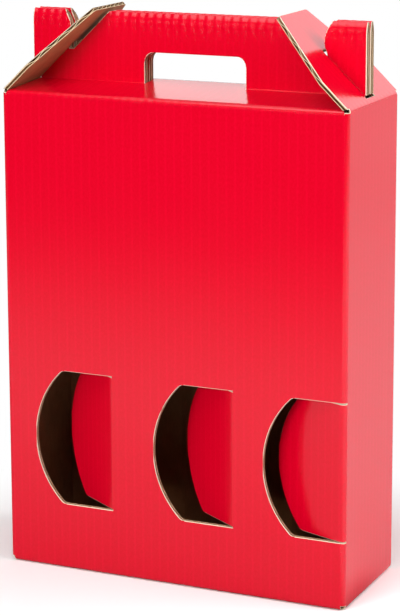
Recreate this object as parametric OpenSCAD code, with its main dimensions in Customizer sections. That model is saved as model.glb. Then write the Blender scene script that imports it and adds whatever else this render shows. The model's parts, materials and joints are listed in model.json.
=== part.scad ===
// Gift carton for three bottles, folded from one die-cut sheet of corrugated board.
// A doubled carry handle stands on the top, and its ears come up through slots in the two
// end flaps. Three bowed windows in the front keep their flaps, folded inward.
// Millimetres, +Z up. The carton stands on Z = 0, centred on X and Y, with its front at -Y.

/* [Carton] */
// Width across the front, outside
box_w = 255; // [215:1:330]
// Depth from front to back, outside
box_d = 96; // [80:1:130]
// Height of the walls, up to the top creases
box_h = 340; // [260:1:400]
// Thickness of the corrugated board
board_t = 3; // [2:0.1:4]

/* [Handle] */
// Height of the handle's folded top edge above the top creases
handle_h = 52.7; // [44:0.1:64]
// Thickness of the two doubled handle panels together
handle_stack = 14; // [13:0.1:20]
// Height that each ledge gains from its wall to the handle
ledge_rise = 4; // [0:0.1:8]
// Width of the hand hole
hole_w = 75.5; // [60:0.5:95]
// Height of the hand hole, from the foot of the handle
hole_h = 21.5; // [16:0.1:30]
// Radius of the hand hole's upper corners
hole_r = 7; // [2:0.1:12]

/* [Ears] */
// Distance from a side's outer face to the innermost point of its ear
ear_inset = 33.1; // [26:0.1:38]
// Radius of an ear's round inner edge
ear_r = 19.5; // [14:0.1:26]
// Depth of the widest point of an ear below its top edge
ear_drop = 13.8; // [8:0.1:18]

/* [End flaps] */
// Length of an end flap from crease to tip
end_flap_l = 81.5; // [74:0.5:100]
// Width of an end flap at its tip
end_flap_tip_w = 48; // [30:1:70]
// Length over which an end flap keeps its full width
end_flap_straight = 26; // [10:1:45]
// Slope of a closed end flap above the level
end_flap_slope = 44; // [40:0.5:48]

/* [Windows] */
// Height of each window
window_h = 96.5; // [70:0.5:130]
// Width of each window from its crease to the middle of its bowed edge
window_w = 59.5; // [48:0.5:70]
// Length of the straight top and bottom edges
window_straight = 38.5; // [28:0.5:46]
// Height of the windows' lower edges above the ground
window_sill = 47.8; // [30:0.5:90]
// Radius of the corners where the straight edges meet the bow
window_corner_r = 5.5; // [1:0.1:6]
// Distance between the creases of the left and the middle window
window_pitch = 91.2; // [78:0.1:110]
// Angle by which the left window flap is folded in
left_fold = 34; // [0:1:80]
// Angle by which the middle window flap is folded in
middle_fold = 34; // [0:1:80]
// Angle by which the right window flap is folded in
right_fold = 21; // [0:1:75]

/* [Base and glue seam] */
// Length of the two inner base flaps, which fold in from the ends
base_end_flap_l = 62; // [40:1:90]
// Distance by which each half of the long base flaps reaches past the middle
base_hook = 9; // [3:0.5:15]
// Width of the seam that closes the sleeve, glued inside the back wall
glue_seam_w = 30; // [15:1:45]

/* [Fits] */
// Width of a die cut between a window flap and its window
cut_gap = 0.4; // [0.2:0.05:1]
// Room between an end flap and what it lies on or turns against
flap_gap = 0.3; // [0.15:0.05:1]
// Room between an ear and the edges of its slot
slot_gap = 0.7; // [0.4:0.05:2]
// Air between the two plies of a doubled handle panel
ply_gap = 0.4; // [0.2:0.05:1]

/* [Hidden] */
$fn = 64;
ARC_STEPS = 12;
TINY = 0.01;

BOARD_RED = "#d8102f";
FLAP_RED = "#e23a50";
WINDOW_RED = "#8f0d22";

// Half sizes of the carton and of the flat stretches between its rounded folds
half_w = box_w / 2;
half_d = box_d / 2;
flat_half_w = half_w - board_t;
flat_half_d = half_d - board_t;

// Inner corners of the folds on a long wall, as [distance in from its outer face, height]
foot_fold = [board_t, board_t];
top_fold = [board_t, box_h - board_t];

// Foot of the handle, where the ledge turns up, and the slope of the ledge that meets it
handle_foot = [half_d - handle_stack / 2, box_h + ledge_rise];
ledge_run = handle_foot - top_fold;
ledge_slope = atan2(ledge_run[1], ledge_run[0]) - asin(board_t / norm(ledge_run));

// The tongue that the hand hole leaves on the front ledge reaches across under the handle
tongue_l = (handle_stack - 2 * flap_gap) / cos(ledge_slope);

// A doubled panel is two plies round a tight fold
panel_t = 2 * board_t + ply_gap;
handle_top = box_h + handle_h;

// Mitre between a side wall and its end flap
mitre = (90 - end_flap_slope) / 2;

// Line of the shoulders, just under a closed end flap: height at a distance from the side
shoulder_drop = (board_t + flap_gap) / cos(end_flap_slope);
function shoulder_z(inset) = box_h + inset * tan(end_flap_slope) - shoulder_drop;
function shoulder_inset(z) = (z - box_h + shoulder_drop) / tan(end_flap_slope);

// The ear's round edge, from its neck up to the folded top
ear_neck_angle = 205;
ear_centre = [half_w - ear_inset + ear_r, handle_top - ear_drop];
ear_top_angle = 180 - asin(ear_drop / ear_r);
ear_neck_x = ear_centre[0] + ear_r * cos(ear_neck_angle);
ear_outer_x = flat_half_w - flap_gap;
ear_corner = ear_centre + ear_r * [cos(ear_top_angle), sin(ear_top_angle)];

// The slot lets the ear's furthest corner swing past as the flap opens
slot_end = norm([half_w - ear_corner[0], ear_corner[1] - box_h]) + slot_gap;
slot_w = handle_stack + 2 * slot_gap;
end_flap_root_w = box_d - 2 * flap_gap;

// The bowed edge of a window is one arc through both corners and the middle
bow_rise = window_w - window_straight;
bow_r = (window_h * window_h / 4 + bow_rise * bow_rise) / (2 * bow_rise);
window_z = window_sill + window_h / 2;
crease_relief = 46;
left_crease = -window_pitch / 2;
middle_crease = window_pitch / 2;
right_crease = half_w;

// Points along an arc
function arc(centre, r, from, to) =
    [for (i = [0:ARC_STEPS]) centre + r * [cos(from + (to - from) * i / ARC_STEPS),
                                           sin(from + (to - from) * i / ARC_STEPS)]];

function unit(v) = v / norm(v);

// Points of the round that replaces the corner b between a and c
function corner_round(a, b, c, r) =
    let (u = unit(a - b), v = unit(c - b), half = acos(u * v) / 2,
         centre = b + unit(u + v) * r / sin(half),
         first = b + u * r / tan(half) - centre,
         last = b + v * r / tan(half) - centre,
         from = atan2(first[1], first[0]),
         turn = atan2(last[1], last[0]) - from,
         sweep = turn > 180 ? turn - 360 : turn < -180 ? turn + 360 : turn)
    arc(centre, r, from, from + sweep);

// Outline from corners given as [x, y, radius], with a round at each radius above zero
function rounded(corners) =
    let (n = len(corners))
    [for (i = [0:n - 1])
        let (b = corners[i], a = corners[(i + n - 1) % n], c = corners[(i + 1) % n])
        each b[2] > 0
            ? corner_round([a[0], a[1]], [b[0], b[1]], [c[0], c[1]], b[2])
            : [[b[0], b[1]]]];

// Turns a section drawn as [distance in from the front, height] into a long piece along X
module along_front(length) {
    translate([0, -half_d, 0])
        rotate([90, 0, 90])
            linear_extrude(height = length, center = true)
                children();
}

// Turns a section drawn as [distance in from the right side, height] into a piece along Y
module along_side(length) {
    translate([half_w, 0, 0])
        rotate([90, 0, 180])
            linear_extrude(height = length, center = true)
                children();
}

// Cuts an outline drawn as [x, z] through the whole depth
module through_depth() {
    rotate([90, 0, 0])
        linear_extrude(height = 2 * box_d, center = true)
            children();
}

// Copies the front's pieces to the back
module front_and_back() {
    children();
    mirror([0, 1, 0]) children();
}

// Copies the right end's pieces to the left end
module both_ends() {
    children();
    mirror([1, 0, 0]) children();
}

// Half of the outline that the top keeps: the grip, the shoulder, the notch and the ear
module top_half_outline() {
    notch_z = shoulder_z(half_w - ear_neck_x);
    above = handle_top + board_t;
    polygon(concat(
        [[0, top_fold[1]], [0, above], [half_w - shoulder_inset(above), above],
         [ear_neck_x, notch_z]],
        arc(ear_centre, ear_r, ear_neck_angle, ear_top_angle),
        [[ear_corner[0], above], [ear_outer_x, above], [ear_outer_x, top_fold[1]]]));
}

// The opening for the hand, square at the crease and round at the top
module hand_hole_outline() {
    foot = handle_foot[1];
    polygon(rounded([[-hole_w / 2, foot, 0], [hole_w / 2, foot, 0],
                     [hole_w / 2, foot + hole_h, hole_r], [-hole_w / 2, foot + hole_h, hole_r]]));
}

// What is cut away above the top creases, drawn as [x, z]
module top_waste_outline() {
    difference() {
        translate([-half_w, top_fold[1]]) square([box_w, 2 * handle_h]);
        top_half_outline();
        mirror([1, 0]) top_half_outline();
    }
    hand_hole_outline();
}

// Everything above the shoulders' line at the right end, where the closed end flap lies
module end_flap_room() {
    through_depth()
        polygon([[half_w, shoulder_z(0)],
                 [half_w - end_flap_l, shoulder_z(end_flap_l)],
                 [half_w, shoulder_z(end_flap_l)]]);
}

// Section of a long panel as [distance in from its outer face, height]: the fold at the
// foot, the wall, the ledge, and the handle's outer ply, folded top and free inner ply
function long_panel_section() =
    let (grip = [handle_foot[0] + panel_t / 2, handle_top - panel_t / 2],
         ply_end = handle_foot[1] + flap_gap)
    concat(
        arc(foot_fold, board_t, 270, 180),
        arc(top_fold, board_t, 180, 90 + ledge_slope),
        [handle_foot],
        arc(grip, panel_t / 2, 180, 0),
        [[handle_foot[0] + panel_t, ply_end], [handle_foot[0] + board_t + ply_gap, ply_end]],
        arc(grip, ply_gap / 2, 0, 180),
        arc(handle_foot, board_t, 0, ledge_slope - 90),
        [top_fold, foot_fold]);

// A long panel, trimmed to the top's outline and clear of the closed end flaps
module long_panel() {
    difference() {
        along_front(2 * flat_half_w) polygon(long_panel_section());
        through_depth() top_waste_outline();
        translate([-hole_w / 2, -handle_stack / 2, box_h - board_t])
            cube([hole_w, handle_stack, ledge_rise + 2 * board_t]);
        difference() {
            both_ends() end_flap_room();
            translate([-half_w, -handle_stack / 2, 0]) cube([box_w, box_d, 2 * box_h]);
        }
    }
}

// The front ledge's tongue, on the slope of the ledge, which closes the foot of the hand hole
module hole_tongue() {
    along = [cos(ledge_slope), sin(ledge_slope)];
    down = [sin(ledge_slope), -cos(ledge_slope)];
    root = handle_foot - along * board_t;
    tip = handle_foot + along * tongue_l;
    top = down * 5 * TINY;
    under = down * (board_t - 5 * TINY);
    along_front(hole_w - 2 * flap_gap)
        polygon([root + top, tip + top, tip + under, root + under]);
}

// A side wall, mitred at the top for its end flap, with its inner base flap
module side_wall() {
    top = box_h - flap_gap / 2;
    along_side(2 * flat_half_d)
        polygon([[board_t, board_t], [0, board_t], [0, top], [board_t, top - board_t * tan(mitre)]]);
    along_side(2 * (flat_half_d - flap_gap))
        polygon(concat(arc(foot_fold, board_t, 270, 180),
                       [[0, 2 * board_t], [board_t, 2 * board_t]]));
    translate([0, 0, board_t])
        linear_extrude(height = board_t)
            polygon([[flat_half_w, -flat_half_d], [flat_half_w, flat_half_d],
                     [half_w - base_end_flap_l, flat_half_d],
                     [half_w - base_end_flap_l, 0],
                     [half_w - base_end_flap_l + flat_half_d, -flat_half_d]]);
}

// The rounded fold between a long wall and a side wall
module corner_fold() {
    translate([0, 0, board_t])
        linear_extrude(height = box_h - 2 * board_t)
            translate([flat_half_w, -flat_half_d])
                intersection() {
                    circle(r = board_t);
                    translate([0, -board_t]) square(board_t);
                }
}

// A long base flap: one half reaches past the middle and the other stops short of it. Its
// ends stay clear of the folds at the feet of the side walls.
module long_base_flap() {
    end = half_w - 2.5 * board_t;
    linear_extrude(height = board_t)
        polygon([[-end, -flat_half_d], [end, -flat_half_d],
                 [end, -base_hook - cut_gap / 2], [base_hook, -base_hook - cut_gap / 2],
                 [-base_hook, base_hook - cut_gap / 2], [-end, base_hook - cut_gap / 2]]);
}

// The strip that closes the sleeve, glued to the inside of the back wall at the left
module glue_seam() {
    foot = 4 * board_t;
    top = box_h - 4 * board_t;
    translate([0, flat_half_d, 0])
        rotate([90, 0, 0])
            linear_extrude(height = board_t)
                polygon([[-flat_half_w, foot], [-flat_half_w + glue_seam_w, foot + glue_seam_w / 2],
                         [-flat_half_w + glue_seam_w, top - glue_seam_w / 2], [-flat_half_w, top]]);
}

// A window's outline left of its crease, drawn as [x, z] about the crease's middle and
// drawn in by a margin on its three cut edges
module window_outline(margin) {
    half_h = window_h / 2 - margin;
    r = bow_r - margin;
    bow_centre = bow_r - window_w;
    corner_z = half_h - window_corner_r;
    corner_x = bow_centre - sqrt(pow(r - window_corner_r, 2) - corner_z * corner_z);
    corner_angle = 180 - asin(corner_z / (r - window_corner_r));
    polygon(concat(
        [[0, -half_h], [0, half_h]],
        arc([corner_x, corner_z], window_corner_r, 90, corner_angle),
        arc([bow_centre, 0], r, corner_angle, 360 - corner_angle),
        arc([corner_x, -corner_z], window_corner_r, 360 - corner_angle, 270)));
}

// Stands a window outline up in the front wall, with its crease at the given X
module in_front_wall(crease) {
    translate([crease, -half_d, window_z])
        rotate([90, 0, 0])
            children();
}

// The V that lets the board fold inward along a crease
module crease_groove(side) {
    mirror([side > 0 ? 0 : 1, 0, 0])
        linear_extrude(height = window_h, center = true)
            polygon([[-TINY, -TINY], [(board_t + TINY) * tan(crease_relief), board_t + TINY],
                     [-TINY, board_t + TINY]]);
}

// The opening that a window leaves in the front wall
module window_cut(crease) {
    in_front_wall(crease)
        linear_extrude(height = 4 * board_t, center = true)
            window_outline(0);
}

// The right window's opening, which goes on round the carton's corner as far as the side wall
module corner_window_cut() {
    intersection() {
        window_cut(right_crease);
        translate([0, -box_d, 0]) cube([flat_half_w, box_d, box_h]);
    }
    translate([flat_half_w - TINY, -half_d - board_t, window_sill])
        cube([2 * board_t, 2 * board_t, window_h]);
}

// The folded sheet: four walls, the glued base, the ledges and the doubled handle
module carton() {
    color(BOARD_RED)
        difference() {
            union() {
                front_and_back() {
                    long_panel();
                    both_ends() corner_fold();
                }
                hole_tongue();
                both_ends() side_wall();
                long_base_flap();
                rotate([0, 0, 180]) long_base_flap();
                glue_seam();
            }
            for (crease = [left_crease, middle_crease]) {
                window_cut(crease);
                translate([crease, -half_d, window_z]) crease_groove(1);
            }
            corner_window_cut();
        }
}

// An end flap laid flat as [distance from the crease, y], with its slot for the ear
module end_flap_outline() {
    root = end_flap_root_w / 2;
    tip = end_flap_tip_w / 2;
    tip_r = 3;
    slot_r = 2;
    difference() {
        polygon(rounded([[0, -root, 0], [end_flap_straight, -root, 0], [end_flap_l, -tip, tip_r],
                         [end_flap_l, tip, tip_r], [end_flap_straight, root, 0], [0, root, 0]]));
        polygon(rounded([[-TINY, -slot_w / 2, 0], [slot_end, -slot_w / 2, slot_r],
                         [slot_end, slot_w / 2, slot_r], [-TINY, slot_w / 2, 0]]));
    }
}

// An end flap at the right, closed on the shoulders, with its mitred root
module end_flap() {
    root = flap_gap / 2;
    translate([half_w, 0, box_h])
        rotate([0, 180 + end_flap_slope, 0])
            intersection() {
                linear_extrude(height = board_t) end_flap_outline();
                rotate([90, 0, 0])
                    linear_extrude(height = box_d, center = true)
                        polygon([[root, 0], [end_flap_l, 0], [end_flap_l, board_t],
                                 [root + board_t * tan(mitre), board_t]]);
            }
}

module right_end_flap() {
    color(FLAP_RED) end_flap();
}

module left_end_flap() {
    color(FLAP_RED) mirror([1, 0, 0]) end_flap();
}

// A window flap that turns about the outer face at its crease, shown folded in
module window_flap(crease, fold) {
    translate([crease, -half_d, window_z])
        rotate([0, 0, -fold])
            difference() {
                rotate([90, 0, 0])
                    translate([0, 0, -board_t])
                        linear_extrude(height = board_t)
                            window_outline(cut_gap);
                crease_groove(-1);
                translate([-cut_gap / 4, -TINY, -window_h / 2])
                    cube([board_t, board_t, window_h]);
            }
}

module left_window_flap() {
    color(WINDOW_RED) window_flap(left_crease, left_fold);
}

module middle_window_flap() {
    color(WINDOW_RED) window_flap(middle_crease, middle_fold);
}

// The right flap takes the carton's corner with it, and turns about the corner's inner edge
module right_window_flap() {
    corner_end = 356;
    plan = concat([[-window_w, -board_t]],
                  arc([0, 0], board_t, 270, corner_end),
                  arc([0, 0], flap_gap, corner_end, 270),
                  [[-flap_gap, 0], [-window_w, 0]]);
    color(WINDOW_RED)
        translate([flat_half_w, -flat_half_d, window_z])
            rotate([0, 0, -right_fold])
                intersection() {
                    linear_extrude(height = window_h, center = true) polygon(plan);
                    translate([right_crease - flat_half_w, 0, 0])
                        rotate([90, 0, 0])
                            linear_extrude(height = 4 * board_t, center = true)
                                window_outline(cut_gap);
                }
}

carton();
left_end_flap();
right_end_flap();
left_window_flap();
middle_window_flap();
right_window_flap();
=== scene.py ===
import json
import math

import bmesh
import bpy
from mathutils import Matrix, Vector


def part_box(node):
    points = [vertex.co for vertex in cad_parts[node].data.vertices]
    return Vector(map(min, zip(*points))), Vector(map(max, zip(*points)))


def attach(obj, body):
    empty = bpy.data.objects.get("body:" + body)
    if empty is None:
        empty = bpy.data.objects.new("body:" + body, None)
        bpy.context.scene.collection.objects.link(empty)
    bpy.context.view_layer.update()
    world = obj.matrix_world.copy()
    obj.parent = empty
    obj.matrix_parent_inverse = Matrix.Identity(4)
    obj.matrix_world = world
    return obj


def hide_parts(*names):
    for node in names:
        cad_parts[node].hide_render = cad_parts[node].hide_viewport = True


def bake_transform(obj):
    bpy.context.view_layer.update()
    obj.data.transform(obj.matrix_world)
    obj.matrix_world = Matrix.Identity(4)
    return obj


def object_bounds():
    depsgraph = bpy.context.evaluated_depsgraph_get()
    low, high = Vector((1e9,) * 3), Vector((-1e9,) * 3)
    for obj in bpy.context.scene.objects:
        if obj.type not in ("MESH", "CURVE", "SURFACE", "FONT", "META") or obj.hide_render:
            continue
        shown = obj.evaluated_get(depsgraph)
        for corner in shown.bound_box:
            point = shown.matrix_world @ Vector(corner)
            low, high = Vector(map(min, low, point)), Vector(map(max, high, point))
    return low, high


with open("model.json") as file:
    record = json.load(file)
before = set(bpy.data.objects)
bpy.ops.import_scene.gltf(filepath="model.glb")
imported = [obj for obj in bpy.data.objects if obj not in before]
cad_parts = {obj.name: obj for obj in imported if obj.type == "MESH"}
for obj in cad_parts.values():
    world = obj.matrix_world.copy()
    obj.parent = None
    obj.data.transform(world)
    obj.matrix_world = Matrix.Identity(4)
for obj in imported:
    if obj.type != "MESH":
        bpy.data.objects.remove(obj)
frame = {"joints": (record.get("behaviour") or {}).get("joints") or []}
cad_low, cad_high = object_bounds()

MM = 0.001


# Front and back of the carton
# Each long panel is one run of B-flute board: a base flap, the wall, a ledge, and the handle's
# outer ply, which is folded over at the top and hangs down again as the inner ply. The board
# is three papers: a red printed liner, a fluted paper and a plain kraft liner.

board_t = 3.0 * MM
liner_t = 0.45 * MM
medium_t = 0.45 * MM
flute_pitch = 6.36 * MM
ply_gap = 0.4 * MM

half_w = cad_high.x
half_d = cad_high.y
handle_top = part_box("carton")[1].z
joint_at = {j["name"]: Vector(j["pos_m"]) for j in frame["joints"]}
box_h = joint_at["right_end_flap_crease"].z
flat_half_w = half_w - board_t
flat_half_d = half_d - board_t

handle_stack = 14.0 * MM
ledge_rise = 4.0 * MM
base_hook = 9.0 * MM
die_cut = 0.4 * MM
flap_room = 0.3 * MM


def course(start, heading, moves):
    """Spans of a folded section's outer face. A move is a length to go, or a pair of degrees
    to turn and the outer face's radius; a turn to the right folds the board inward."""
    spans, at, angle, along = [], Vector(start), math.radians(heading), 0.0
    for move in moves:
        inward = Vector((math.sin(angle), -math.cos(angle)))
        if isinstance(move, tuple):
            turn, radius = math.radians(move[0]), move[1]
            side = -1 if turn < 0 else 1
            centre = at - inward * radius * side
            length = abs(turn) * max(radius, board_t) / 2
            spans.append((along, along + length, centre, angle, turn, radius))
            angle += turn
            at = centre + Vector((math.sin(angle), -math.cos(angle))) * radius * side
        else:
            length = move
            spans.append((along, along + length, at.copy(), angle, 0.0, 0.0))
            at = at + Vector((math.cos(angle), math.sin(angle))) * length
        along += length
    return spans


def on_course(spans, along, depth):
    """The point at a distance along a course and a depth below its outer face."""
    span = next((s for s in spans if along <= s[1]), spans[-1])
    first, last, place, angle, turn, radius = span
    if turn == 0.0:
        run = along - first
        return (place.x + math.cos(angle) * run + math.sin(angle) * depth,
                place.y + math.sin(angle) * run - math.cos(angle) * depth)
    angle += turn * (along - first) / (last - first)
    reach = radius + depth if turn > 0 else depth - radius
    return place.x + math.sin(angle) * reach, place.y - math.cos(angle) * reach


def fold_rows(spans, steps=5):
    """Where a section needs edges to bend: through each fold."""
    rows = []
    for first, last, _, _, turn, _ in spans:
        if turn != 0.0:
            rows += [first + (last - first) * i / steps for i in range(steps + 1)]
    return rows


crush_steps = (1.5 * MM, 4.0 * MM)


def crush_rows(spans):
    """Where the outer liner needs edges besides, to sink on both sides of a fold."""
    rows = []
    for first, last, _, _, turn, _ in spans:
        if turn != 0.0:
            rows += [first - step for step in crush_steps]
            rows += [last + step for step in crush_steps]
    return rows


def arc(centre, radius, first, last, steps=10):
    """Points along an arc, in degrees."""
    angles = [math.radians(first + (last - first) * i / steps) for i in range(steps + 1)]
    return [(centre[0] + radius * math.cos(a), centre[1] + radius * math.sin(a)) for a in angles]


# Lengths in metres that count as nothing where a sheet is cut into cells, edges and seams.
CELL_SLACK = 1e-9
EDGE_SLACK = 1e-7
SEAM_SLACK = 1e-6
DIGITS = 7


def snapped(places):
    """Places in order and without repeats."""
    return sorted(set(round(place, DIGITS) for place in places))


def within(polygon, low, high):
    """The part of a convex polygon between two rows."""
    for limit, sign in ((low, 1), (high, -1)):
        kept = []
        for a, b in zip(polygon, polygon[1:] + polygon[:1]):
            a_in = sign * (a[1] - limit) >= -CELL_SLACK
            b_in = sign * (b[1] - limit) >= -CELL_SLACK
            if a_in:
                kept.append(a)
            if a_in != b_in:
                share = (limit - a[1]) / (b[1] - a[1])
                kept.append((a[0] + (b[0] - a[0]) * share, limit))
        polygon = kept
    return polygon


class Paper:
    """One paper of the board as a thin closed sheet, cut to outlines in flat sheet metres and
    folded up by place(u, v, depth). Flutes run along v."""

    FACE, RIM, BACK = range(3)
    # Bevels kept free beside corners, limit of a mitre, points made one, and angle left sharp
    column_room = 1.6
    mitre_limit = 0.3
    weld = 0.02 * MM
    sharp = math.radians(50)

    def __init__(self):
        self.points, self.faces, self.slots, self.flat = [], [], [], []

    def add(self, outlines, rows, columns, place, face, back, bevel=0.0, joined=None):
        """face(u, v) and back(u, v) are the depths of the paper's two sides. The face's edge is
        bevelled where the paper is cut, but not where joined(a, b) tells that it goes on. No
        column comes nearer to an outline's corner than column_room bevels."""
        index, inward = {}, {}

        def corner(u, v, side):
            key = (round(u, DIGITS), round(v, DIGITS), side)
            if key not in index:
                index[key] = len(self.points)
                self.points.append(place(u, v, (face, back)[side](u, v)))
                self.flat.append((u, v))
            return index[key]

        def add_face(corners, slot):
            ring = [c for i, c in enumerate(corners) if c != corners[i - 1]]
            if len(ring) > 2:
                self.faces.append(ring)
                self.slots.append(slot)

        def rim(a, b, side):
            add_face([corner(*a, 0), corner(*b, 0), corner(*b, 1), corner(*a, 1)], self.RIM)
            if bevel and not joined(a, b):
                for u, v in (a, b):
                    inward.setdefault((round(u, DIGITS), round(v, DIGITS), 0), []).append(side)

        edges = [(a, b) for loop in outlines for a, b in zip(loop, loop[1:] + loop[:1])]
        upright = [p[1] for a, b in edges if abs(a[0] - b[0]) < EDGE_SLACK for p in (a, b)]
        slanted = [(a, b) for a, b in edges if abs(a[0] - b[0]) >= EDGE_SLACK]
        rows = snapped(rows + upright)
        ends = [p[0] for loop in outlines for p in loop]
        columns = [u for u in columns if min(ends) < u < max(ends)
                   and all(abs(u - end) >= self.column_room * bevel for end in ends)]
        columns = snapped(columns + ends)
        before = []
        for left, right in zip(columns, columns[1:] + [None]):
            # Between two columns the sheet is a few spans, each with a lower and an upper line.
            spans = []
            if right is not None:
                middle = (left + right) / 2
                hits = []
                for a, b in slanted:
                    if min(a[0], b[0]) < middle < max(a[0], b[0]):
                        rise = (b[1] - a[1]) / (b[0] - a[0])
                        hits.append(tuple(a[1] + rise * (u - a[0]) for u in (middle, left, right)))
                hits.sort()
                spans = [(low, high) for low, high in zip(hits[::2], hits[1::2])
                         if high[0] - low[0] > SEAM_SLACK]
            for low, high in spans:
                shape = [(left, low[1]), (right, low[2]), (right, high[2]), (left, high[1])]
                foot, top = min(low[1:]), max(high[1:])
                cuts = [v for v in rows if foot + EDGE_SLACK < v < top - EDGE_SLACK]
                cuts = [foot] + cuts + [top]
                for c0, c1 in zip(cuts, cuts[1:]):
                    cell = within(shape, c0, c1)
                    add_face([corner(*p, 0) for p in cell], self.FACE)
                    add_face([corner(*p, 1) for p in reversed(cell)], self.BACK)
                for line, way in ((low, 1), (high, -1)):
                    v0, v1 = line[1], line[2]
                    side = Vector((v0 - v1, right - left)).normalized() * way
                    v_low, v_high = min(v0, v1) + EDGE_SLACK, max(v0, v1) - EDGE_SLACK
                    crossed = sorted((v for v in rows if v_low < v < v_high), reverse=v1 < v0)
                    knots = [(left, v0)]
                    knots += [(left + (right - left) * (v - v0) / (v1 - v0), v) for v in crossed]
                    knots.append((right, v1))
                    for a, b in zip(knots, knots[1:]):
                        rim(a, b, side)
            # Along the left column there is a rim where only one of its two sides has paper.
            after = [(low[1], high[1]) for low, high in spans]
            marks = snapped(v for pair in before + after for v in pair)
            marks = snapped(marks + [v for v in rows if marks and marks[0] < v < marks[-1]])
            for v0, v1 in zip(marks, marks[1:]):
                v = (v0 + v1) / 2
                inside = [any(a < v < b for a, b in side) for side in (before, after)]
                if inside[0] != inside[1]:
                    rim((left, v0), (left, v1), Vector((-1 if inside[0] else 1, 0)))
            before = [(low[2], high[2]) for low, high in spans]
        # The bevel moves each cut edge of the face in, with mitred corners.
        for key, sides in inward.items():
            mean = sum(sides, Vector((0, 0))) / len(sides)
            shift = mean * bevel / max(mean.length_squared, self.mitre_limit)
            u, v = key[0] + shift.x, key[1] + shift.y
            self.points[index[key]] = place(u, v, face(u, v))
            self.flat[index[key]] = (u, v)

    def make(self, name, materials):
        """The object, with materials for the face, the cut rim and the back."""
        mesh = bpy.data.meshes.new(name)
        mesh.from_pydata(self.points, [], self.faces)
        for material in materials:
            mesh.materials.append(material)
        mesh.polygons.foreach_set("material_index", self.slots)
        layer = mesh.uv_layers.new(name="sheet")
        for loop in mesh.loops:
            layer.uv[loop.index].vector = self.flat[loop.vertex_index]
        solid = bmesh.new()
        solid.from_mesh(mesh)
        bmesh.ops.remove_doubles(solid, verts=solid.verts, dist=self.weld)
        bmesh.ops.recalc_face_normals(solid, faces=solid.faces)
        for edge in solid.edges:
            kinds = set(f.material_index for f in edge.link_faces)
            edge.smooth = len(kinds) == 1 and edge.calc_face_angle(0.0) < self.sharp
        for polygon in solid.faces:
            polygon.smooth = True
        solid.to_mesh(mesh)
        solid.free()
        piece = bpy.data.objects.new(name, mesh)
        bpy.context.scene.collection.objects.link(piece)
        return piece


washboard = 0.02 * MM
crush_reach = 2.4 * MM
glue_gap = 0.05 * MM


def wave(u):
    """0 where the fluted paper touches the outer liner and 1 where it touches the inner one."""
    return 0.5 + 0.5 * math.cos(2 * math.pi * u / flute_pitch)


def liner_depths(creases):
    """The outer liner sinks a little between the flutes, and more beside the creases, which
    are given as places along the sheet with their depths."""

    def face(u, v):
        crush = max((d * math.exp(-((v - c) / crush_reach) ** 2) for c, d in creases), default=0.0)
        return (washboard + crush) * wave(u)

    return face, lambda u, v: face(u, v) + liner_t


def medium_depths():
    """The fluted paper swings from one liner to the other."""
    swing = board_t - 2 * liner_t - medium_t - glue_gap

    def face(u, v):
        return liner_t + glue_gap + swing * wave(u)

    return face, lambda u, v: face(u, v) + medium_t


def inner_depths():
    """The inner liner's face is the inside of the board."""

    def face(u, v):
        return board_t - washboard * (1 - wave(u))

    return face, lambda u, v: face(u, v) - liner_t


papers = {"outer_liner": Paper(), "fluted_paper": Paper(), "inner_liner": Paper()}
# Columns of edges in each flute
PER_FLUTE = {"outer_liner": 8, "fluted_paper": 8, "inner_liner": 4}
cut_bevel = 0.45 * MM


def lay_board(sheets, outlines_of, spans, place, creases=(), bends=(), joined=None):
    """Adds the board's three papers; outlines_of(name) gives each paper's own outlines, and
    spans is the course with the folds across the flutes. The bends are where the sheet needs
    edges along the flutes, besides those of the flutes. If joined is given, the outer liner's
    cut edges are bevelled."""
    depths = {"outer_liner": liner_depths(creases), "fluted_paper": medium_depths(),
              "inner_liner": inner_depths()}
    for name, sheet in sheets.items():
        face, back = depths[name]
        step = flute_pitch / PER_FLUTE[name]
        reach = math.ceil(2 * half_w / step)
        columns = [i * step for i in range(-reach, reach)] + list(bends)
        rows = fold_rows(spans)
        bevel = 0.0
        if name == "outer_liner":
            rows += crush_rows(spans)
            bevel = cut_bevel if joined else 0.0
        sheet.add(outlines_of(name), rows, columns, place, face, back, bevel, joined)


def lies_along(columns, rows=()):
    """A test of whether an edge of the sheet lies along one of some columns or rows."""

    def joined(a, b):
        for axis, places in enumerate((columns, rows)):
            if any(max(abs(a[axis] - p), abs(b[axis] - p)) < SEAM_SLACK for p in places):
                return True
        return False

    return joined


handle_foot = Vector((half_d - handle_stack / 2, box_h + ledge_rise))
top_fold = Vector((board_t, box_h - board_t))
ledge_run = handle_foot - top_fold
ledge_slope = math.degrees(math.atan2(ledge_run.y, ledge_run.x)
                           - math.asin(board_t / ledge_run.length))
ledge_l = math.sqrt(ledge_run.length_squared - board_t ** 2)
# Both plies lean in to a pressed fold, so the folded top is taller than it is thick.
lean = 30.0
grip_r = 1.25 * MM
lean_cos, lean_sin = math.cos(math.radians(lean)), math.sin(math.radians(lean))
lean_r = (board_t + ply_gap / 2 - grip_r * lean_cos) / (1 - lean_cos)
grip_z = handle_top - lean_r * lean_sin - grip_r * (1 - lean_sin)
valley_r = 0.3 * MM
valley_run = valley_r * math.tan(math.radians(90 - ledge_slope) / 2)
ply_l = grip_z - handle_foot.y - valley_run

long_course = course(
    (half_d + base_hook - die_cut / 2, 0), 180,
    [half_d + base_hook - die_cut / 2 - board_t, (-90, board_t), box_h - 2 * board_t,
     (ledge_slope - 90, board_t), ledge_l - valley_run, (90 - ledge_slope, valley_r), ply_l,
     (-lean, lean_r), (2 * lean - 180, grip_r), (-lean, lean_r), ply_l + valley_run - flap_room])
FOOT, WALL, TOP, LEDGE, VALLEY, OUTER, LEAN, GRIP, LEAN_BACK, INNER = range(1, 11)
start_of = [span[0] for span in long_course]
end_of = [span[1] for span in long_course]
grip_middle = (start_of[GRIP] + end_of[GRIP]) / 2

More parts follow.
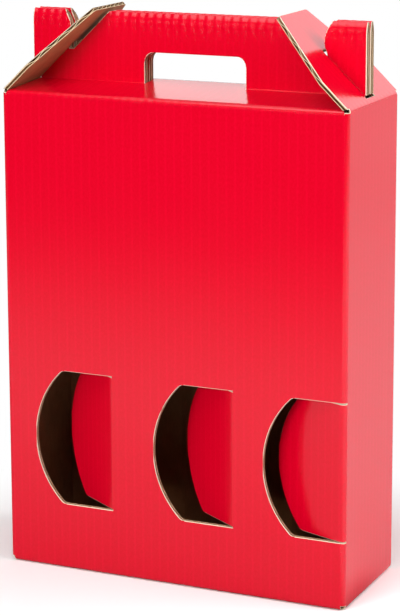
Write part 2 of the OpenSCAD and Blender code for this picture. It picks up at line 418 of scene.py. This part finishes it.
end_slope = 44.0
slope_rise = math.tan(math.radians(end_slope))
shoulder_drop = (board_t + flap_room) / math.cos(math.radians(end_slope))


def shoulder_inset(z):
    """Distance in from the side at which the underside of a closed end flap is at a height."""
    return (z - box_h + shoulder_drop) / slope_rise


def on_wall(z):
    """Where a height on the wall is along the sheet."""
    return start_of[WALL] + z - board_t


def on_outer_ply(z):
    """Where a height on the handle's outer ply is along the sheet, found by halving."""
    low, high = start_of[OUTER], grip_middle
    for _ in range(40):
        middle = (low + high) / 2
        if on_course(long_course, middle, 0.0)[1] < z:
            low = middle
        else:
            high = middle
    return high


def on_inner_ply(z):
    """The same on the inner ply, which mirrors the outer one about the fold."""
    return min(2 * grip_middle - on_outer_ply(z), end_of[INNER])


ear_inset = 33.1 * MM
ear_r = 19.5 * MM
ear_drop = 13.8 * MM
ear_neck = 205.0
shoulder_room = 3.6 * MM
ear_centre = (half_w - ear_inset + ear_r, handle_top - ear_drop)
ear_outer_x = flat_half_w - flap_room
hole_w = 75.5 * MM
hole_h = 21.5 * MM
hole_r = 7.0 * MM


def notch_outline():
    """The gap between grip and ear at the right, through both plies and the fold."""
    neck_x = ear_centre[0] + ear_r * math.cos(math.radians(ear_neck))
    ear_top = 180 - math.degrees(math.asin(ear_drop / ear_r))
    notch_z = box_h + (half_w - neck_x) * slope_rise - shoulder_drop
    fold_x = half_w - shoulder_inset(grip_z) - shoulder_room
    fold_l = lean_r * math.radians(lean) + grip_r * math.radians(90 - lean)
    edge = [(fold_x - fold_l / slope_rise, handle_top), (fold_x, grip_z),
            (neck_x - shoulder_room, notch_z), (neck_x, notch_z)]
    edge += arc(ear_centre, ear_r, ear_neck, ear_top)
    outside = [(x, on_outer_ply(z)) for x, z in edge]
    inside = [(x, on_inner_ply(z)) for x, z in reversed(edge[1:-1])]
    return outside + inside


def hand_hole(on_ply, foot):
    """The hand hole in one ply, open down to a place on the sheet."""
    corner = (hole_w / 2 - hole_r, handle_foot.y + hole_h - hole_r)
    right = [(x, on_ply(z)) for x, z in arc(corner, hole_r, 0, 90)]
    right.insert(0, (hole_w / 2, foot))
    return right + [(-u, v) for u, v in reversed(right)]


# The base flap's inset and relief, and the share of the top fold that keeps the wall's width
base_inset = 2.5 * board_t
base_relief = 1.5 * MM
fold_share = 0.35


def long_outlines():
    """The long panel with its notches and the hand hole in both plies. The base flap is
    narrower than the wall, and the ledge's ends are cut to lie under the end flaps."""
    base_x = half_w - base_inset
    ledge_x = [half_w - shoulder_inset(z) for z in (box_h, handle_foot.y)]
    edge = [(ear_outer_x, start_of[FOOT]), (flat_half_w, start_of[WALL]),
            (flat_half_w, end_of[WALL]), (ear_outer_x, end_of[WALL]),
            (ear_outer_x, end_of[WALL] + fold_share * (end_of[TOP] - end_of[WALL])),
            (ledge_x[0], start_of[LEDGE]), (ledge_x[1], end_of[LEDGE]),
            (ledge_x[1], start_of[OUTER]), (ear_outer_x, start_of[OUTER]),
            (ear_outer_x, end_of[INNER])]
    base_end = start_of[FOOT] - base_relief
    outline = [(-base_x, 0.0), (-base_hook, 0.0), (base_hook, 2 * base_hook),
               (base_x, 2 * base_hook), (base_x, base_end)]
    outline += edge + [(-u, v) for u, v in reversed(edge)] + [(-base_x, base_end)]
    notch = notch_outline()
    return [outline, notch, [(-u, v) for u, v in notch],
            hand_hole(on_outer_ply, start_of[VALLEY]), hand_hole(on_inner_ply, end_of[INNER])]


# The three windows are bowed D shapes, cut through the front wall on three sides. Each flap
# stays on at its crease, so the cut in the outer liner ends where the flap's bend begins.

window_h = 96.5 * MM
window_w = 59.5 * MM
window_straight = 38.5 * MM
window_corner = 5.5 * MM
bow_rise = window_w - window_straight
bow_r = (window_h ** 2 / 4 + bow_rise ** 2) / (2 * bow_rise)
window_z = joint_at["left_window_crease"].z
WINDOWS = ("left_window", "middle_window", "right_window")
crease_x = {name: joint_at[name + "_crease"].x for name in WINDOWS[:2]}
crease_x["right_window"] = half_w
fold_of = {j["name"][:-len("_crease")]: -j["range_deg"][0]
           for j in frame["joints"] if j["name"][:-len("_crease")] in WINDOWS}
bend_r = 1.0 * MM
bend_run = {name: bend_r * math.tan(math.radians(fold_of[name] / 2)) for name in WINDOWS[:2]}
CREASE_CUT = {"fluted_paper": 2.2 * MM, "inner_liner": 3.2 * MM}


def bowed_outline(margin, root):
    """A window's outline as [distance from the crease, height above its middle]."""
    half_h = window_h / 2 - margin
    r = bow_r - margin
    centre = window_w - bow_r
    corner_z = half_h - window_corner
    corner_a = centre + math.sqrt((r - window_corner) ** 2 - corner_z ** 2)
    turn = math.degrees(math.asin(corner_z / (r - window_corner)))
    upper = arc((corner_a, corner_z), window_corner, 90, turn, 5)
    lower = arc((corner_a, -corner_z), window_corner, -turn, -90, 5)
    bow = arc((centre, 0.0), r, turn, -turn, 24)
    return [(root, -half_h), (root, half_h)] + upper + bow[1:-1] + lower


def window_cut(name, paper):
    """A window's hole in one paper of the front. The right one runs on past the corner."""
    root = board_t
    if name in bend_run:
        root = -CREASE_CUT.get(paper, bend_run[name])
    return [(crease_x[name] - a, on_wall(window_z + b)) for a, b in bowed_outline(0.0, root)]


grip_fill = 0.9


def pressed(v):
    """The share of its thickness that the board keeps in the handle's fold, where it has to
    fit inside the fold's radius."""
    beside = abs(v - grip_middle) - (end_of[GRIP] - grip_middle)
    share = min(max(beside / (end_of[LEAN] - start_of[LEAN]), 0.0), 1.0)
    return share + (1 - share) * grip_fill * grip_r / board_t


def front_place(u, v, depth):
    inset, z = on_course(long_course, v, depth * pressed(v))
    return u, inset - half_d, z


def back_place(u, v, depth):
    inset, z = on_course(long_course, v, depth * pressed(v))
    return -u, half_d - inset, z


base_crush, top_crush, grip_crush = 0.06 * MM, 0.05 * MM, 0.35 * MM
long_creases = [(place, base_crush) for place in (start_of[FOOT], end_of[FOOT])]
long_creases += [(place, top_crush) for place in (start_of[TOP], end_of[TOP])]
long_creases += [(place, grip_crush) for place in (start_of[LEAN], start_of[GRIP], grip_middle,
                                                   end_of[GRIP], end_of[LEAN_BACK])]
window_roots = [window_cut(name, "outer_liner")[0][0] for name in WINDOWS]
front_seams = lies_along(window_roots, [start_of[VALLEY]])


def long_joins(a, b):
    """The side edges of wall and ledge, and the seams of the windows and the tongue."""
    u, v = min(abs(a[0]), abs(b[0])) + SEAM_SLACK, max(a[1], b[1]) - SEAM_SLACK
    reach = ear_outer_x if v < end_of[WALL] else half_w - shoulder_inset(handle_foot.y)
    return u > reach and v < start_of[OUTER] or front_seams(a, b)


lay_board(papers, lambda paper: long_outlines() + [window_cut(name, paper) for name in WINDOWS],
          long_course, front_place, long_creases, joined=long_joins)
lay_board(papers, lambda paper: long_outlines(), long_course, back_place, long_creases,
          joined=long_joins)

# Under the handle the hand hole leaves a tongue on the front ledge, which closes its foot.
tongue_l = (handle_stack - 2 * flap_room) / math.cos(math.radians(ledge_slope)) + valley_run
tongue_x = hole_w / 2 - flap_room
tongue_course = course(on_course(long_course, end_of[LEDGE], 0.0), ledge_slope, [tongue_l])


def tongue_place(u, v, depth):
    inset, z = on_course(tongue_course, v, depth)
    return u, inset - half_d, z


tongue = [(-tongue_x, 0.0), (tongue_x, 0.0), (tongue_x, tongue_l), (-tongue_x, tongue_l)]
lay_board(papers, lambda paper: [tongue], [], tongue_place)


# Ends of the carton
# Each end is the side wall with the rounded corners on both sides of it and a base flap that
# lies inside the long ones. Its outer liner stops at the crease, where the end flap's begins.

base_end_l = 62.0 * MM
crease_r = 3.0 * MM
crease_run = crease_r * math.tan(math.radians((90 - end_slope) / 2))
end_round = course((flat_half_w, half_d), 0, [(-90, board_t), 2 * flat_half_d, (-90, board_t)])
foot_dip = 50.0
dip_run = board_t / math.tan(math.radians(foot_dip))
dip_start = board_t * (1 + 1 / math.sin(math.radians(foot_dip)))
end_rise = course((base_end_l, board_t), 180,
                  [base_end_l - dip_start, (foot_dip, 0.0), dip_run, (-90 - foot_dip, board_t),
                   box_h - board_t])
corner_share = 0.9
corner_drop = 1.6 * MM
END_TOP = {"outer_liner": crease_run, "fluted_paper": 1.0 * MM, "inner_liner": 1.6 * MM}


def end_outlines(paper, windowed):
    """The end with its base flap. The right window goes on into one of its corners."""
    (_, near, *_), (_, far, *_), (_, full, *_) = end_round
    rise, top = end_rise[-1][:2]
    corner_top = top - (corner_drop if paper == "outer_liner" else board_t)
    wall_top = top - END_TOP[paper]
    holes = []
    if windowed:
        low, high = [rise + window_z - board_t + side * window_h / 2 for side in (-1, 1)]
        first = full - (full - far) * corner_share
        holes = [[(first, low), (full, low), (full, high), (first, high)]]
    outline = [(near, 0.0), (near + flat_half_d, 0.0), (far, flat_half_d), (far, rise), (full, rise),
               (full, corner_top), (far, corner_top), (far, wall_top), (near, wall_top),
               (near, corner_top), (0.0, corner_top), (0.0, rise), (near, rise)]
    return holes + [outline]


def end_place(sign):
    def place(u, v, depth):
        inset, z = on_course(end_rise, v, depth)
        x, y = on_course(end_round, u, inset)
        return sign * x, sign * y, z

    return place


corner_bends = [first + (last - first) * i / 6 for first, last, *_ in end_round[::2]
                for i in range(7)]
end_joins = [side for span in end_round for side in span[:2]]
end_joins.append(end_round[2][1] - (end_round[2][1] - end_round[2][0]) * corner_share)
for sign in (1, -1):
    lay_board(papers, lambda paper: end_outlines(paper, sign > 0), end_rise, end_place(sign),
              [(end_rise[-1][0], base_crush)], corner_bends,
              lies_along(end_joins, [end_rise[-1][1] - END_TOP["outer_liner"]]))


# Glue seam
# The strip of the same board that closes the four walls to a sleeve. Its ends are cut at a
# slant, and it is glued to the inside of the back wall at the left corner.

seam_w = 30.0 * MM
seam_end = 4 * board_t
seam = [(0.0, seam_end), (seam_w, seam_end + seam_w / 2), (seam_w, box_h - seam_end - seam_w / 2),
        (0.0, box_h - seam_end)]
lay_board(papers, lambda paper: [seam], [],
          lambda u, v, depth: (u - flat_half_w, flat_half_d - depth, v))


# Papers of the board
# The outer liner is white-lined test paper, flood printed red and varnished to a gloss. The
# fluted paper and the inner liner are unbleached kraft, which shows at every cut edge.


def linear(code):
    """A hex sRGB colour as the linear values that a shader takes."""
    parts = [int(code[i:i + 2], 16) / 255 for i in (1, 3, 5)]
    return [c / 12.92 if c <= 0.04045 else ((c + 0.055) / 1.055) ** 2.4 for c in parts] + [1.0]


def add(tree, kind, settings=None, **inputs):
    """Adds a node. An input that is an output socket is linked, and any other is set. Inputs
    are given by name, or by number as i0, i1 and i2."""
    node = tree.nodes.new("ShaderNode" + kind)
    for name, value in (settings or {}).items():
        setattr(node, name, value)
    for name, value in inputs.items():
        key = int(name[1:]) if name[0] == "i" and name[1:].isdigit() else name.replace("_", " ")
        if isinstance(value, bpy.types.NodeSocket):
            tree.links.new(value, node.inputs[key])
        else:
            node.inputs[key].default_value = value
    return node


def new_material(name):
    """An empty material and its tree."""
    material = bpy.data.materials.new(name)
    material.use_nodes = True
    material.node_tree.nodes.clear()
    return material, material.node_tree


def sheet_noise(tree, across, along, detail=2.0):
    """Noise on the flat sheet, with grains of a size across and along the flutes."""
    flat = add(tree, "UVMap", {"uv_map": "sheet"})
    scaled = add(tree, "Mapping", Vector=flat.outputs["UV"], Scale=(1 / across, 1 / along, 1.0))
    return add(tree, "TexNoise", Vector=scaled.outputs["Vector"], Scale=1.0, Detail=detail)


def finish_material(tree, shader):
    out = add(tree, "OutputMaterial")
    tree.links.new(shader.outputs["BSDF"], out.inputs["Surface"])


def varnished_red():
    """Red ink under a gloss varnish. Along the tips of the flutes the colour is painted lighter in
    broken lines, a painted highlight of the washboard, and the paper's fibres give it a fine mottle."""
    material, tree = new_material("varnished_red_liner")
    streak = sheet_noise(tree, 1.1 * MM, 18 * MM)
    mottle = sheet_noise(tree, 1.4 * MM, 2.2 * MM, 3.0)
    cloud = sheet_noise(tree, 34 * MM, 60 * MM)
    across = add(tree, "SeparateXYZ", Vector=add(tree, "UVMap", {"uv_map": "sheet"}).outputs["UV"])
    turn = add(tree, "Math", {"operation": "MULTIPLY"}, i0=across.outputs["X"],
               i1=2 * math.pi / flute_pitch)
    flute = add(tree, "Math", {"operation": "COSINE"}, i0=turn.outputs["Value"])
    # Lighter colour along the flute tips is a painted washboard highlight, broken up by the streak
    # noise; the mottle is the fibres' random tone.
    tip = add(tree, "MapRange", Value=flute.outputs["Value"], From_Min=-0.5, From_Max=-1.0)
    line = add(tree, "Math", {"operation": "MULTIPLY"}, i0=tip.outputs["Result"],
               i1=streak.outputs["Fac"])
    painted_sheen_and_mottle = add(tree, "Math", {"operation": "MULTIPLY_ADD"}, i0=line.outputs["Value"], i1=0.5,
               i2=mottle.outputs["Fac"])
    sheen_and_mottle_share = add(tree, "MapRange", Value=painted_sheen_and_mottle.outputs["Value"], From_Min=0.35, From_Max=0.95)
    tone = add(tree, "MixRGB", i0=sheen_and_mottle_share.outputs["Result"], i1=linear("#E40022"), i2=linear("#EE022E"))
    gloss = add(tree, "MapRange", Value=cloud.outputs["Fac"], To_Min=0.13, To_Max=0.2)
    grain = add(tree, "Bump", Height=streak.outputs["Fac"], Distance=0.02 * MM, Strength=0.5)
    skin = add(tree, "Bump", Height=mottle.outputs["Fac"], Distance=0.03 * MM, Strength=0.5,
               Normal=grain.outputs["Normal"])
    shader = add(tree, "BsdfPrincipled", Base_Color=tone.outputs["Color"], IOR=1.55,
                 Roughness=gloss.outputs["Result"], Normal=skin.outputs["Normal"])
    finish_material(tree, shader)
    return material


def kraft(name, light, dark, roughness):
    """Unbleached paper: long mixed fibres in two browns, quite matt."""
    material, tree = new_material(name)
    fibre = sheet_noise(tree, 0.8 * MM, 5 * MM, 4.0)
    cloud = sheet_noise(tree, 9 * MM, 14 * MM, 3.0)
    mixed = add(tree, "Math", {"operation": "MULTIPLY_ADD"}, i0=fibre.outputs["Fac"], i1=0.6,
                i2=cloud.outputs["Fac"])
    tone = add(tree, "MapRange", Value=mixed.outputs["Value"], From_Min=0.5, From_Max=1.1)
    colour = add(tree, "MixRGB", i0=tone.outputs["Result"], i1=linear(dark), i2=linear(light))
    bump = add(tree, "Bump", Height=fibre.outputs["Fac"], Distance=0.03 * MM, Strength=0.6)
    shader = add(tree, "BsdfPrincipled", Base_Color=colour.outputs["Color"], Roughness=roughness,
                 Normal=bump.outputs["Normal"])
    finish_material(tree, shader)
    return material


# The knife breaks the fibres open, so the cut edges are paler than the papers' sides.
red_liner = varnished_red()
kraft_liner = kraft("kraft_inner_liner", "#AC7A50", "#93653F", 0.8)
kraft_flutes = kraft("kraft_fluted_paper", "#A98058", "#8F6843", 0.85)
cut_liner = kraft("cut_liner_edge", "#FBEFDC", "#EEDABC", 0.85)
cut_kraft = kraft("cut_kraft_edge", "#EBD4B0", "#D8BA90", 0.85)
FINISHES = {"outer_liner": (red_liner, cut_liner, kraft_flutes),
            "fluted_paper": (kraft_flutes, cut_kraft, kraft_flutes),
            "inner_liner": (kraft_liner, cut_kraft, kraft_flutes)}

for name, sheet in papers.items():
    piece = sheet.make("carton_" + name, FINISHES[name])
    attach(piece, "carton")
    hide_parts("carton")


def make_flap(name, sheets, start, end):
    """The outer liner, which goes on through the crease, is baked where it lies; the other two
    papers are attached to the flap's body.
    """
    for paper, sheet in sheets.items():
        piece = sheet.make(name + "_" + paper, FINISHES[paper])
        if paper == "outer_liner":
            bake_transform(piece)
        else:
            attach(piece, name)
        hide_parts(name)


def new_papers():
    return {paper: Paper() for paper in papers}


# End flaps
# Single board that comes over from the side walls and lies on the handle's shoulders. An ear
# of the handle stands up through the slot in each.

end_flap_l = 81.5 * MM
end_flap_tip = 24.0 * MM
end_flap_straight = 26.0 * MM
end_flap_root = half_d - flap_room
slot_half = handle_stack / 2 + 0.7 * MM
slot_start = 4.0 * MM
slot_end = 47.5 * MM

end_flap_course = course((0.0, box_h - crease_run), 90,
                         [(end_slope - 90, crease_r), end_flap_l - crease_run])


def rounded(corners):
    """An outline from corners given as (u, v, radius)."""
    points = []
    for i, (u, v, radius) in enumerate(corners):
        here = Vector((u, v))
        if radius == 0.0:
            points.append((u, v))
            continue
        before = (Vector(corners[i - 1][:2]) - here).normalized()
        after = (Vector(corners[(i + 1) % len(corners)][:2]) - here).normalized()
        half = before.angle(after) / 2
        centre = here + (before + after).normalized() * radius / math.sin(half)
        first = here + before * radius / math.tan(half) - centre
        last = here + after * radius / math.tan(half) - centre
        sweep = first.angle_signed(last)
        for k in range(7):
            turn = Matrix.Rotation(-sweep * k / 6, 2)
            points.append(tuple(centre + turn @ first))
    return points


def end_flap_outlines(paper):
    """The flap and its slot. Only the outer liner goes on through the crease."""
    flat = end_flap_course[1][0]

    def at(s):
        return flat + s - crease_run

    straight, tip = at(end_flap_straight), at(end_flap_l)
    tip_r, slot_r = 3.0 * MM, 2.0 * MM
    body = [(-end_flap_root, straight, 0.0), (-end_flap_tip, tip, tip_r),
            (end_flap_tip, tip, tip_r), (end_flap_root, straight, 0.0)]
    if paper == "outer_liner":
        root = [(end_flap_root, flat, 0.0), (flat_half_d, flat, 0.0), (flat_half_d, 0.0, 0.0),
                (-flat_half_d, 0.0, 0.0), (-flat_half_d, flat, 0.0), (-end_flap_root, flat, 0.0)]
    else:
        inner_root = at(crease_run + END_TOP[paper])
        root = [(end_flap_root, inner_root, 0.0), (-end_flap_root, inner_root, 0.0)]
    slot = [(-slot_half, at(slot_start), 0.0), (-slot_half, at(slot_end), slot_r),
            (slot_half, at(slot_end), slot_r), (slot_half, at(slot_start), 0.0)]
    return [rounded(body + root), rounded(slot)]


def end_flap_place(sign):
    def place(u, v, depth):
        inset, z = on_course(end_flap_course, v, depth)
        return sign * (half_w - inset), sign * u, z

    return place


for name, sign in (("right_end_flap", 1), ("left_end_flap", -1)):
    sheets = new_papers()
    lay_board(sheets, end_flap_outlines, end_flap_course, end_flap_place(sign),
              [(side, top_crush) for side in end_flap_course[0][:2]], joined=lies_along([], [0.0]))
    first = Vector(end_flap_place(sign)(0.0, 0.0, 0.0))
    last = Vector(end_flap_place(sign)(0.0, end_flap_course[0][1], 0.0))
    make_flap(name, sheets, first, last)


# Window flaps
# The bowed pieces of the front wall, pushed in round their creases. The left and middle ones
# bend at the face of the wall, and the right one goes on round the carton's rounded corner.


def window_flap(window):
    """Lays the three papers of one flap round its crease and makes the pieces."""
    fold = fold_of[window]
    run = bend_run.get(window, 0.0)
    back_turn = 90 * corner_share
    if run:
        round_in = course((crease_x[window] + run, -half_d), 180, [(-fold, bend_r), window_w - run])
    else:
        run = board_t
        start = arc((flat_half_w, -flat_half_d), board_t, back_turn - 90, 0, 1)[0]
        round_in = course(start, 180 + back_turn, [(-fold - back_turn, board_t), window_w - run])
    bend_end = round_in[0][1]

    def outlines(paper):
        if paper == "outer_liner":
            shape = bowed_outline(die_cut, run)
            root = [(0.0, -shape[1][1]), (0.0, shape[1][1])]
            return [root + [(bend_end + a - run, b) for a, b in shape[1:] + shape[:1]]]
        if window in bend_run:
            shape = bowed_outline(die_cut, CREASE_CUT[paper])
            return [[(bend_end + a - run, b) for a, b in shape]]
        shape = bowed_outline(die_cut, run)
        first = bend_end * fold / (fold + back_turn)
        root = [(first, -shape[1][1]), (first, shape[1][1])]
        return [root + [(bend_end + a - run, b) for a, b in shape[1:] + shape[:1]]]

    def place(u, v, depth):
        x, y = on_course(round_in, u, depth)
        return x, y, window_z + v

    sheets = new_papers()
    lay_board(sheets, outlines, [], place, bends=[bend_end * i / 8 for i in range(9)],
              joined=lies_along([0.0]))
    make_flap(window + "_flap", sheets, Vector(place(0.0, 0.0, 0.0)),
              Vector(place(bend_end, 0.0, 0.0)))


for window in WINDOWS:
    window_flap(window)


# Studio
# A pale floor and soft lamps. The camera stands a little above and to the right of the
# carton's front, as in the photograph, with a long lens.

floor_side, floor_front, floor_back = 1.6, -1.2, 1.6
floor_drop = 0.2 * MM
floor_mesh = bpy.data.meshes.new("floor")
floor_mesh.from_pydata([(-floor_side, floor_front, 0), (floor_side, floor_front, 0),
                        (floor_side, floor_back, 0), (-floor_side, floor_back, 0)], [],
                       [(0, 1, 2, 3)])
floor = bpy.data.objects.new("floor", floor_mesh)
floor.location.z = -floor_drop
bpy.context.scene.collection.objects.link(floor)

# White paint. To the camera the floor shows the carton's shadow near it and is as white as the
# background further off. In reflections and bounced light its colour in front carries painted shade:
# darker close to the carton and fading dark towards the camera.
floor_paint, tree = new_material("white_floor")
path = add(tree, "LightPath")
spot = add(tree, "TexCoord")
away = add(tree, "VectorMath", {"operation": "LENGTH"}, i0=spot.outputs["Object"])
far = add(tree, "MapRange", {"interpolation_type": "SMOOTHSTEP"}, Value=away.outputs["Value"],
          From_Min=0.145, From_Max=0.27)
seen = add(tree, "Math", {"operation": "MULTIPLY"}, i0=far.outputs["Result"],
           i1=path.outputs["Is Camera Ray"])
floor_at = add(tree, "SeparateXYZ", Vector=spot.outputs["Object"])
# Painted shade of the carton on the floor in front of it, seen only in reflections and bounced
# light.
near = add(tree, "MapRange", Value=floor_at.outputs["Y"], From_Min=-0.05, From_Max=-0.42,
           To_Min=0.4, To_Max=0.75)
# Painted shade: the floor's colour fades dark further in front.
painted_fade_in_front = add(tree, "MapRange", {"interpolation_type": "SMOOTHSTEP"}, Value=floor_at.outputs["Y"],
           From_Min=-0.4, From_Max=-1.15, To_Min=1.0, To_Max=0.02)
# Both painted shades together, for the floor in front of the carton.
front = add(tree, "Math", {"operation": "MULTIPLY"}, i0=near.outputs["Result"],
            i1=painted_fade_in_front.outputs["Result"])
behind = add(tree, "MapRange", Value=floor_at.outputs["Y"], From_Min=-0.05, From_Max=0.05)
beside = add(tree, "MapRange", Value=floor_at.outputs["X"], From_Min=0.12, From_Max=0.15)
behind = add(tree, "Math", {"operation": "MAXIMUM"}, i0=behind.outputs["Result"],
             i1=beside.outputs["Result"])
shade = add(tree, "Math", {"operation": "MAXIMUM"}, i0=front.outputs["Value"],
            i1=behind.outputs["Value"])
tint = add(tree, "MixRGB", i0=path.outputs["Is Camera Ray"], i1=shade.outputs["Value"],
           i2=[1.2, 1.2, 1.2, 1.0])
paint = add(tree, "BsdfDiffuse", Color=tint.outputs["Color"])
white = add(tree, "Emission", Color=[1.0, 1.0, 1.0, 1.0], Strength=1.0)
mixed = add(tree, "MixShader", i0=seen.outputs["Value"], i1=paint.outputs["BSDF"],
            i2=white.outputs["Emission"])
tree.links.new(mixed.outputs["Shader"], add(tree, "OutputMaterial").inputs["Surface"])
floor_mesh.materials.append(floor_paint)

# The background is white to the camera and in reflections, but for the dark room in front.
world = bpy.data.worlds.new("studio")
world.use_nodes = True
tree = world.node_tree
tree.nodes.clear()
path = add(tree, "LightPath")
toward = add(tree, "SeparateXYZ", Vector=add(tree, "TexCoord").outputs["Generated"])
behind = add(tree, "MapRange", {"interpolation_type": "SMOOTHSTEP"}, Value=toward.outputs["Y"],
             From_Min=-0.3, From_Max=0.3)
gloss = add(tree, "Math", {"operation": "MULTIPLY"}, i0=behind.outputs["Result"],
            i1=path.outputs["Is Glossy Ray"])
gloss = add(tree, "Math", {"operation": "MULTIPLY"}, i0=gloss.outputs["Value"], i1=0.72)
seen = add(tree, "Math", {"operation": "MAXIMUM"}, i0=path.outputs["Is Camera Ray"],
           i1=path.outputs["Is Transmission Ray"])
seen = add(tree, "Math", {"operation": "MAXIMUM"}, i0=seen.outputs["Value"],
           i1=gloss.outputs["Value"])
level = add(tree, "Math", {"operation": "MAXIMUM"}, i0=seen.outputs["Value"], i1=0.02)
sky = add(tree, "Background", Color=level.outputs["Value"], Strength=1.0)
tree.links.new(sky.outputs["Background"], add(tree, "OutputWorld").inputs["Surface"])
bpy.context.scene.world = world


def softbox(name, place, target, size, power, mirrored=True):
    """A soft lamp that faces a target; mirrored says whether the varnish reflects it."""
    lamp = bpy.data.lights.new(name, "AREA")
    lamp.shape = "RECTANGLE"
    lamp.size, lamp.size_y = size
    lamp.energy = power
    box = bpy.data.objects.new(name, lamp)
    box.location = place
    box.rotation_euler = (Vector(place) - Vector(target)).to_track_quat("Z", "Y").to_euler()
    box.visible_camera = False
    box.visible_glossy = mirrored
    bpy.context.scene.collection.objects.link(box)


middle = (0.0, 0.0, box_h / 2)
# The key lamp leaves no reflection in the varnish, and the other three give it its sheen.
softbox("key_softbox", (-0.6, -2.6, 0.8), middle, (1.2, 1.0), 45, mirrored=False)
softbox("top_softbox", (0.0, -0.95, 1.9), middle, (1.8, 1.6), 22)
softbox("side_softbox", (1.7, 0.1, 1.1), middle, (1.2, 1.4), 25)
softbox("back_softbox", (0.0, 2.3, 1.15), middle, (3.6, 1.5), 17)

# The camera's place is fitted to the carton's six outer corners in the photograph.
azimuth, elevation, roll = 24.40, 11.19, -0.21
camera_distance = 1581.6 * MM
camera_rise = 81.2 * MM
focal_pixels = 2261.4
frame_pixels = 616
lens_shift = -0.15

camera = bpy.data.objects.new("camera", bpy.data.cameras.new("camera"))
turn, lift = math.radians(azimuth), math.radians(elevation)
back = Vector((math.sin(turn) * math.cos(lift), -math.cos(turn) * math.cos(lift), math.sin(lift)))
right = Vector((math.cos(turn), math.sin(turn), 0.0))
tilt = Matrix.Rotation(math.radians(roll), 3, back)
right, up = tilt @ right, tilt @ back.cross(right)
place = Vector(middle) + up * camera_rise + back * camera_distance
camera.matrix_world = Matrix.Translation(place) @ Matrix((right, up, back)).transposed().to_4x4()
camera.data.sensor_width = 36.0
camera.data.lens = focal_pixels * camera.data.sensor_width / frame_pixels
camera.data.shift_y = lens_shift
bpy.context.scene.collection.objects.link(camera)
bpy.context.scene.camera = camera
bpy.context.scene.view_settings.view_transform = "Standard"
